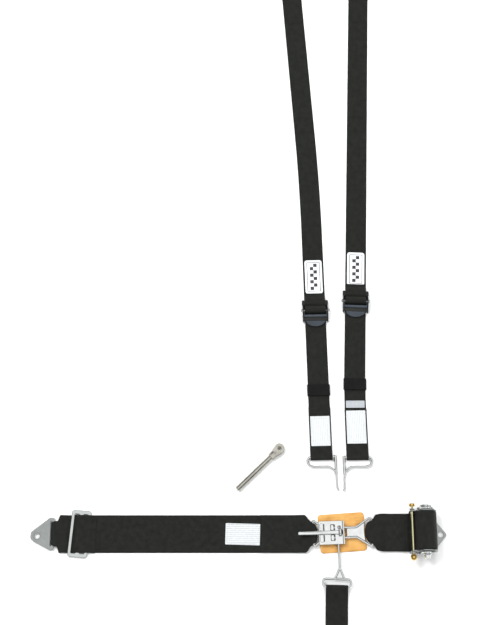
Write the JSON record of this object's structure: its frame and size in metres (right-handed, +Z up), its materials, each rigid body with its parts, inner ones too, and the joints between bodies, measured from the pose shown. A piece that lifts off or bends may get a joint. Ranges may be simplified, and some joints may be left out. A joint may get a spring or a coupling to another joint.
{
  "type": "racing harness",
  "caption": "Five-strap racing harness laid flat: lap belts with a lever latch and pad, ratchet lap adjuster, hooked shoulder straps with tilt-lock adjusters, crotch strap.",
  "frame": {"origin": "middle of the laid-out harness on the surface it lies on", "axes": "+X along the lap belts towards the ratchet, +Y along the shoulder straps, +Z up"},
  "size_m": [0.842, 1.6452, 0.0491],
  "materials": {
    "webbing": "matte woven",
    "label": "satin woven label",
    "size_label": "silver woven label",
    "patch": "smooth white patch",
    "bright_steel": "polished",
    "zinc_plate": "zinc plated",
    "pin_steel": "satin",
    "black_steel": "black coated",
    "thumb_tab": "slate grey",
    "pad_leather": "tan leather",
    "brass": "yellow plated",
    "keeper_elastic": "elastic"
  },
  "bodies": {
    "left_lap_belt": {"left_lap_webbing": "webbing", "left_lap_label": "label"},
    "left_lap_anchor_body": {"left_lap_anchor": "zinc_plate"},
    "left_lap_slide_body": {"left_lap_slide": "bright_steel"},
    "latch": {"latch_base": "bright_steel", "latch_cover": "bright_steel", "latch_bail": "bright_steel", "latch_pin": "pin_steel", "latch_spring": "pin_steel", "latch_eyelet": "pin_steel", "latch_pad": "pad_leather"},
    "lever": {"latch_lever": "bright_steel"},
    "link": {"right_link": "bright_steel"},
    "right_lap_belt": {"right_lap_webbing": "webbing", "ratchet_frame": "zinc_plate", "rod_spring": "pin_steel"},
    "spool": {"ratchet_spool": "zinc_plate", "webbing_roll": "webbing", "ratchet_wheels": "bright_steel", "drive_head": "bright_steel"},
    "release": {"release_rod": "brass", "release_knob": "brass", "release_cap": "brass", "ratchet_pawl": "zinc_plate"},
    "crotch_hook_body": {"crotch_hook": "bright_steel"},
    "crotch_strap": {"crotch_webbing": "webbing"},
    "crotch_anchor_body": {"crotch_anchor": "zinc_plate"},
    "handle": {"handle_shank": "bright_steel", "handle_head": "bright_steel", "handle_rivets": "bright_steel"},
    "left_shoulder_strap": {"left_shoulder_webbing": "webbing", "left_shoulder_label": "label", "left_patch": "patch"},
    "left_hook_body": {"left_shoulder_hook": "bright_steel"},
    "left_keeper_body": {"left_keeper": "keeper_elastic"},
    "left_adjuster": {"left_adjuster_frame": "black_steel", "left_adjuster_pin": "bright_steel"},
    "left_adjuster_cam": {"left_adjuster_bar": "black_steel", "left_adjuster_tab": "thumb_tab"},
    "left_slide_body": {"left_shoulder_slide": "black_steel"},
    "left_anchor_body": {"left_shoulder_anchor": "zinc_plate"},
    "right_shoulder_strap": {"right_shoulder_webbing": "webbing", "right_shoulder_label": "label", "right_patch": "patch", "right_size_label": "size_label"},
    "right_hook_body": {"right_shoulder_hook": "bright_steel"},
    "right_keeper_body": {"right_keeper": "keeper_elastic"},
    "right_adjuster": {"right_adjuster_frame": "black_steel", "right_adjuster_pin": "bright_steel"},
    "right_adjuster_cam": {"right_adjuster_bar": "black_steel", "right_adjuster_tab": "thumb_tab"},
    "right_slide_body": {"right_shoulder_slide": "black_steel"},
    "right_anchor_body": {"right_shoulder_anchor": "zinc_plate"}
  },
  "joints": [
    {"name": "left_lap_anchor_swing", "type": "hinge", "parent": "left_lap_belt", "child": "left_lap_anchor_body", "pos_m": [-0.376, -0.536, 0.005], "axis": [0, 1, 0], "range_deg": [0, 80]},
    {"name": "left_lap_slide_travel", "type": "slide", "parent": "left_lap_belt", "child": "left_lap_slide_body", "axis": [1, 0, 0], "range_m": [0, 0.15]},
    {"name": "latch_swing", "type": "hinge", "parent": "left_lap_belt", "child": "latch", "pos_m": [0.15002, -0.53629, 0.0084], "axis": [0.0349, -0.9994, 0], "range_deg": [0, 10]},
    {"name": "lever_lift", "type": "hinge", "parent": "latch", "child": "lever", "pos_m": [0.20399, -0.53441, 0.0172], "axis": [-0.0349, 0.9994, 0], "range_deg": [0, 110]},
    {"name": "link_release", "type": "slide", "parent": "latch", "child": "link", "axis": [0.9994, 0.0349, 0], "range_m": [0, 0.06]},
    {"name": "right_belt_swing", "type": "hinge", "parent": "link", "child": "right_lap_belt", "pos_m": [0.26895, -0.53214, 0.0084], "axis": [0.0349, -0.9994, 0], "range_deg": [0, 30]},
    {"name": "spool_turn", "type": "hinge", "parent": "right_lap_belt", "child": "spool", "pos_m": [0.376, -0.5335, 0.0268], "axis": [0, 1, 0], "continuous": true},
    {"name": "rod_pull", "type": "slide", "parent": "right_lap_belt", "child": "release", "axis": [0, -1, 0], "range_m": [0, 0.0035], "stiffness_N_per_m": 800},
    {"name": "crotch_hook_release", "type": "slide", "parent": "latch", "child": "crotch_hook_body", "axis": [0.0349, -0.9994, 0], "range_m": [0, 0.06]},
    {"name": "crotch_strap_swing", "type": "hinge", "parent": "crotch_hook_body", "child": "crotch_strap", "pos_m": [0.1955, -0.642, 0.0084], "axis": [-0.9997, 0.0262, 0], "range_deg": [0, 60]},
    {"name": "crotch_anchor_swing", "type": "hinge", "parent": "crotch_strap", "child": "crotch_anchor_body", "pos_m": [0.19215, -0.76996, 0.005], "axis": [-0.9997, 0.0262, 0], "range_deg": [0, 80]},
    {"name": "handle_lift", "type": "slide", "parent": "left_lap_belt", "child": "handle", "axis": [0, 0, 1], "range_m": [0, 0.1]},
    {"name": "left_strap_lift", "type": "slide", "parent": "left_lap_belt", "child": "left_shoulder_strap", "axis": [0, 0, 1], "range_m": [0, 0.1]},
    {"name": "left_hook_swing", "type": "hinge", "parent": "left_shoulder_strap", "child": "left_hook_body", "pos_m": [0.17, -0.379, 0.0046], "axis": [-0.9997, -0.0236, 0], "range_deg": [0, 90]},
    {"name": "left_keeper_travel", "type": "slide", "parent": "left_shoulder_strap", "child": "left_keeper_body", "axis": [-0.0236, 0.9997, 0], "range_m": [-0.01, 0.03]},
    {"name": "left_adjuster_travel", "type": "slide", "parent": "left_shoulder_strap", "child": "left_adjuster", "axis": [-0.0236, 0.9997, 0], "range_m": [-0.06, 0.02]},
    {"name": "left_cam_tilt", "type": "hinge", "parent": "left_adjuster", "child": "left_adjuster_cam", "pos_m": [0.16256, -0.06309, 0.0105], "axis": [-0.9997, -0.0236, 0], "range_deg": [0, 45]},
    {"name": "left_slide_travel", "type": "slide", "parent": "left_shoulder_strap", "child": "left_slide_body", "axis": [0.0706, -0.9975, 0], "range_m": [0, 0.1]},
    {"name": "left_anchor_swing", "type": "hinge", "parent": "left_shoulder_strap", "child": "left_anchor_body", "pos_m": [0.11637, 0.78536, 0.005], "axis": [0.9975, 0.0706, 0], "range_deg": [0, 80]},
    {"name": "right_strap_lift", "type": "slide", "parent": "left_lap_belt", "child": "right_shoulder_strap", "axis": [0, 0, 1], "range_m": [0, 0.1]},
    {"name": "right_hook_swing", "type": "hinge", "parent": "right_shoulder_strap", "child": "right_hook_body", "pos_m": [0.2444, -0.379, 0.0046], "axis": [-0.9999, -0.0157, 0], "range_deg": [0, 90]},
    {"name": "right_keeper_travel", "type": "slide", "parent": "right_shoulder_strap", "child": "right_keeper_body", "axis": [0.0174, 0.9998, 0], "range_m": [-0.01, 0.04]},
    {"name": "right_adjuster_travel", "type": "slide", "parent": "right_shoulder_strap", "child": "right_adjuster", "axis": [0.0358, 0.9994, 0], "range_m": [-0.06, 0.02]},
    {"name": "right_cam_tilt", "type": "hinge", "parent": "right_adjuster", "child": "right_adjuster_cam", "pos_m": [0.24912, -0.04212, 0.0105], "axis": [-0.9994, 0.0358, 0], "range_deg": [0, 45]},
    {"name": "right_slide_travel", "type": "slide", "parent": "right_shoulder_strap", "child": "right_slide_body", "axis": [-0.0358, -0.9994, 0], "range_m": [0, 0.1]},
    {"name": "right_anchor_swing", "type": "hinge", "parent": "right_shoulder_strap", "child": "right_anchor_body", "pos_m": [0.27862, 0.78209, 0.005], "axis": [0.9994, -0.0358, 0], "range_deg": [0, 80]}
  ]
}
